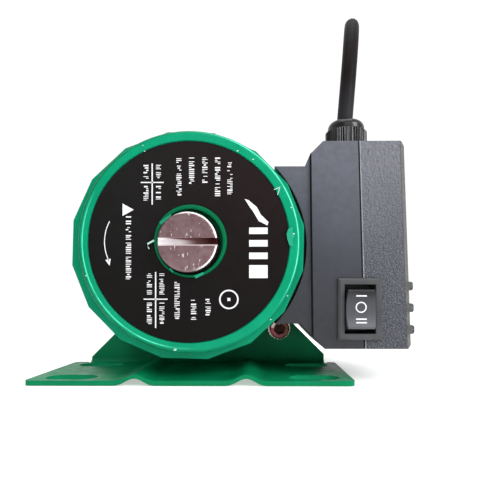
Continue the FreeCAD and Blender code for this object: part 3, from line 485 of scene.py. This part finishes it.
# ---------------------------------------------------------------- flat printed marks
def mesh_piece(name, vertices, faces, material, body):
    """A mesh from vertices in mm, riding on body."""
    mesh = bpy.data.meshes.new(name)
    mesh.from_pydata([Vector(v) * MM for v in vertices], [], faces)
    mesh.update()
    piece = bpy.data.objects.new(name, mesh)
    bpy.context.scene.collection.objects.link(piece)
    piece.data.materials.append(material)
    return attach(piece, body)


class Print:
    """Flat shapes in x and z, laid on a surface whose y is given by depth(x, z)."""

    def __init__(self, depth):
        self.depth, self.v, self.f = depth, [], []

    def shape(self, points):
        start = len(self.v)
        self.v += [(x, self.depth(x, z), z) for x, z in points]
        self.f.append(tuple(range(start, start + len(points))))

    def rect(self, x0, x1, z0, z1):
        self.shape([(x0, z0), (x1, z0), (x1, z1), (x0, z1)])

    def arc(self, cx, cz, r0, r1, start, end, steps=40):
        for k in range(steps):
            a, b = (start + (end - start) * t / steps for t in (k, k + 1))
            self.shape([(cx + r * math.cos(t), cz + r * math.sin(t))
                        for r, t in ((r0, a), (r1, a), (r1, b), (r0, b))])

    def words(self, x, z_top, z_low, height=2.1):
        """A column of plain blocks running downward, standing in for a line of small print."""
        z = z_top
        while z > z_low + 0.6:
            step = min(random.choice((0.28, 0.32, 0.55)), z - z_low)
            half = height / 2 * random.choice((0.45, 0.75, 1.0, 1.0))
            middle = x + (height / 2 - half) * random.choice((-1, 0, 1))
            self.rect(middle - half, middle + half, z - step, z)
            z -= step + (1.2 if random.random() < 0.14 else 0.38)


INK = plastic("white_ink", (0.80, 0.80, 0.82), (0.68, 0.68, 0.70), (0.4, 0.5), 600.0, 0.00001, 0.0)
COLUMNS = (                                                 # x, top and bottom of each column of small print
    (15.9, 89.2, 75.8), (11.0, 91.2, 75.4), (5.9, 91.2, 80.6), (0.6, 91.2, 80.6), (-4.5, 90.9, 75.4),
    (-24.7, 67.8, 41.5), (-5.2, 41.5, 25.9), (1.4, 34.3, 25.9), (7.2, 34.7, 27.5),
)
TABLES = (                                                  # x, top, bottom, cross rule and its half width
    (-15.2, 88.9, 72.4, 81.3, 4.6), (-13.8, 45.5, 23.1, 34.6, 4.8),
)
RULE_HALF, CROSS_HALF = 0.25, 0.22
label = Print(lambda x, z: LABEL_FACE)
for x, z_top, z_low in COLUMNS:
    label.words(x, z_top, z_low)
for x, z_top, z_low, z_mid, wide in TABLES:
    label.rect(x - RULE_HALF, x + RULE_HALF, z_low, z_top)
    label.rect(x - wide, x + wide, z_mid - CROSS_HALF, z_mid + CROSS_HALF)
    for side in (-2.5, 2.5):
        label.words(x + side, z_top - 0.6, z_mid + 1.0, 2.0)
        label.words(x + side, z_mid - 1.4, z_low + 1.2, 2.0)
label.shape([(-27.1, 67.9), (-22.6, 70.4), (-27.1, 72.9)])                     # a plain triangle
label.arc(-17.0, 57.6, 17.15, 17.5, math.radians(152), math.radians(206))
label.shape([(-34.0, 50.3), (-31.8, 50.8), (-32.3, 48.0)])                     # the curved arrow's head
label.arc(15.5, 34.5, 3.3, 3.9, 0.0, 2 * math.pi)
label.rect(14.9, 16.1, 33.9, 35.1)                                            # the dot in the ring
label.shape([(21.8, 74.6), (23.4, 74.1), (25.2, 69.6), (23.9, 71.3)])
label.shape([(23.4, 74.1), (26.6, 71.4), (28.3, 68.3), (25.2, 69.6)])
label.shape([(28.3, 68.3), (31.3, 65.4), (30.9, 64.0), (27.4, 65.8), (25.2, 69.6)])     # a plain swoosh
for z0, z1 in ((60.6, 63.2), (55.6, 58.2), (50.6, 53.2), (43.0, 48.2)):
    label.rect(23.6, 31.0, z0, z1)
mesh_piece("label_print", label.v, label.f, INK, "frame")

DISH_R = (ROCKER_TIP ** 2 + DISH_DEPTH ** 2) / (2 * DISH_DEPTH)


def dish(x, z):
    """The rocker's hollow face, a hair in front of it so that the marks lie on top."""
    return DISH_Y - MARK_LIFT - (DISH_R - math.sqrt(DISH_R ** 2 - (z - ROCKER_Z) ** 2))


marks = Print(dish)
for z, half in ((35.9, 2.15), (26.5, 2.15), (25.1, 2.15)):
    marks.rect(ROCKER_X - half, ROCKER_X + half, z - 0.28, z + 0.28)
marks.arc(ROCKER_X, 31.3, 1.75, 2.25, 0.0, 2 * math.pi, 48)
mesh_piece("switch_marks", marks.v, marks.f, INK, "rocker")

# ---------------------------------------------------------------- small wear
FLECK = plastic("bare_fleck", (0.62, 0.80, 0.72), (0.25, 0.55, 0.42), (0.3, 0.5), 400.0, 0.00001, 0.0)
FLASH = plastic("paint_flash", (0.01, 0.34, 0.19), (0.005, 0.26, 0.14), (0.3, 0.5), 400.0, 0.00001, 0.0)
flecks = Print(lambda x, z: RIM_FACE)
for x, z, size in ((-5.9, 14.5, 0.8), (19.0, 93.7, 0.45), (25.2, 90.3, 0.4), (40.4, 71.1, 0.4),
                   (41.3, 60.6, 0.6), (41.0, 59.6, 0.4), (32.2, 26.5, 0.4), (38.9, 36.0, 0.35),
                   (-18.8, 96.0, 0.35), (-18.1, 93.7, 0.35), (-41.6, 44.0, 0.4)):
    flecks.shape([(x + size * a, z + size * b) for a, b in ((-1, -0.4), (0.3, -0.6), (1, 0.2), (-0.2, 0.6))])
flecks.shape([(33.4, 78.0), (33.6, 78.4), (36.0, 79.4), (36.0, 79.0)])
flecks.shape([(36.0, 79.2), (35.7, 79.2), (34.8, 76.1), (35.1, 76.1)])
mesh_piece("rim_chips", flecks.v, flecks.f, FLECK, "frame")
curl = Print(lambda x, z: CURL_FACE)
curl.shape([(-14.4, 58.4), (-14.1, 57.7), (-16.9, 56.2), (-17.0, 56.9)])
curl.shape([(-17.0, 56.9), (-16.9, 56.2), (-16.0, 54.6), (-16.5, 54.6)])
mesh_piece("collar_curl", curl.v, curl.f, FLECK, "frame")
flash = Print(lambda x, z: FLASH_FACE)
flash.shape([(-12.2, 65.2), (-11.5, 64.2), (-7.4, 67.6), (-7.5, 68.6)])
flash.shape([(1.6, 43.9), (2.5, 42.8), (5.8, 44.6), (5.4, 45.4)])
flash.shape([(-8.3, 46.6), (-6.9, 45.1), (-6.5, 45.5), (-7.6, 47.0)])
flash.shape([(40.9, 63.4), (39.2, 62.6), (38.5, 60.6), (38.7, 58.8), (39.6, 56.0), (41.2, 55.4)])
mesh_piece("collar_flash", flash.v, flash.f, FLASH, "frame")

# ---------------------------------------------------------------- mains cord
POINTS = [
    (67.6, 9.0, SEAL_TOP + 0.35), (71.6, 8.0, 163.5), (79.0, 50.0, 188.0), (83.5, 92.0, 163.0),
    (80.5, 96.0, 110.0), (64.0, 101.0, 66.0), (36.0, 104.0, 25.0), (10.0, 106.0, 6.0),
]
PER_TURN = 12
steps = PER_TURN * COIL_TURNS
for k in range(steps + PER_TURN // 2):
    turn = (k + 0.5) / PER_TURN
    angle = -math.pi / 2 - 2 * math.pi * turn
    past = max(0.0, k - steps) / (PER_TURN / 2)
    radius = (COIL_R - TAIL_IN * past) / math.cos(math.pi / PER_TURN)
    height = COIL_LOW + COIL_PITCH * min(turn, COIL_TURNS) + TAIL_RISE * past ** 1.2
    POINTS.append((COIL_X + radius * math.cos(angle), COIL_Y + radius * math.sin(angle), height))
POINTS += [(COIL_X + 2.0, COIL_Y + 28.0, 48.0), (COIL_X + 14.0, COIL_Y + 28.0, 48.0)]

curve = bpy.data.curves.new("mains_cord", "CURVE")
curve.dimensions = "3D"
curve.resolution_u = 14
curve.bevel_depth = CORD_R * MM
curve.bevel_resolution = 6
curve.use_fill_caps = True
spline = curve.splines.new("NURBS")
spline.points.add(len(POINTS) - 1)
for point, place in zip(spline.points, POINTS):
    point.co = (*(Vector(place) * MM), 1.0)
spline.order_u = 3
spline.use_endpoint_u = True
cord = bpy.data.objects.new("mains_cord", curve)
bpy.context.scene.collection.objects.link(cord)
cord.data.materials.append(MATERIALS["cord_sheath"])
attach(cord, "frame")
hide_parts("power_cord", "cord_coil")

# ---------------------------------------------------------------- floor and light
bpy.ops.mesh.primitive_plane_add(size=12.0, location=(0, 0, -0.0002))
floor = bpy.context.object
floor.name = "studio_floor"
m = Mat("studio_floor")
m.colour(m.ramp(m.noise(3.0), [(0.3, (0.74, 0.74, 0.74)), (0.7, (0.78, 0.78, 0.78))]))
m.set(Roughness=0.9, Emission_Color=(1.0, 1.0, 1.0, 1.0), Emission_Strength=0.45)
floor.data.materials.append(m.mat)

world = bpy.data.worlds.new("studio")
bpy.context.scene.world = world
world.use_nodes = True
tree = world.node_tree
sky = tree.nodes["Background"]
sky.inputs["Color"].default_value = (1.0, 1.0, 1.0, 1.0)
direction = tree.nodes.new("ShaderNodeSeparateXYZ")
tree.links.new(tree.nodes.new("ShaderNodeTexCoord").outputs["Generated"], direction.inputs[0])


def span(source, low, high, to_low, to_high):
    """Like Mat.band, for the world's tree."""
    node = tree.nodes.new("ShaderNodeMapRange")
    for key, value in zip(("From Min", "From Max", "To Min", "To Max"), (low, high, to_low, to_high)):
        node.inputs[key].default_value = value
    tree.links.new(source, node.inputs["Value"])
    return node.outputs["Result"]


level = tree.nodes.new("ShaderNodeMix")      # a white sweep behind, a dimmer room in front, lighter overhead
tree.links.new(span(direction.outputs["Y"], -0.6, 0.3, 0.0, 1.0), level.inputs[0])
tree.links.new(span(direction.outputs["Z"], -0.15, 0.75, 0.05, 0.75), level.inputs[2])
level.inputs[3].default_value = 1.05
tree.links.new(level.outputs[0], sky.inputs["Strength"])


def area(name, place, target, size, power):
    """A white rectangular lamp aimed at target."""
    data = bpy.data.lights.new(name, "AREA")
    data.energy, data.shape = power, "RECTANGLE"
    data.size, data.size_y = size
    lamp = bpy.data.objects.new(name, data)
    bpy.context.scene.collection.objects.link(lamp)
    lamp.location = place
    lamp.rotation_euler = (Vector(target) - Vector(place)).to_track_quat("-Z", "Y").to_euler()


area("key", (0.55, -0.42, 0.42), (0.03, 0.0, 0.06), (0.35, 0.35), 4.0)
area("front_top", (0.10, -0.70, 0.50), (0.03, 0.0, 0.08), (0.6, 0.25), 1.1)
area("top", (0.05, -0.10, 0.70), (0.03, 0.0, 0.08), (0.5, 0.4), 1.6)
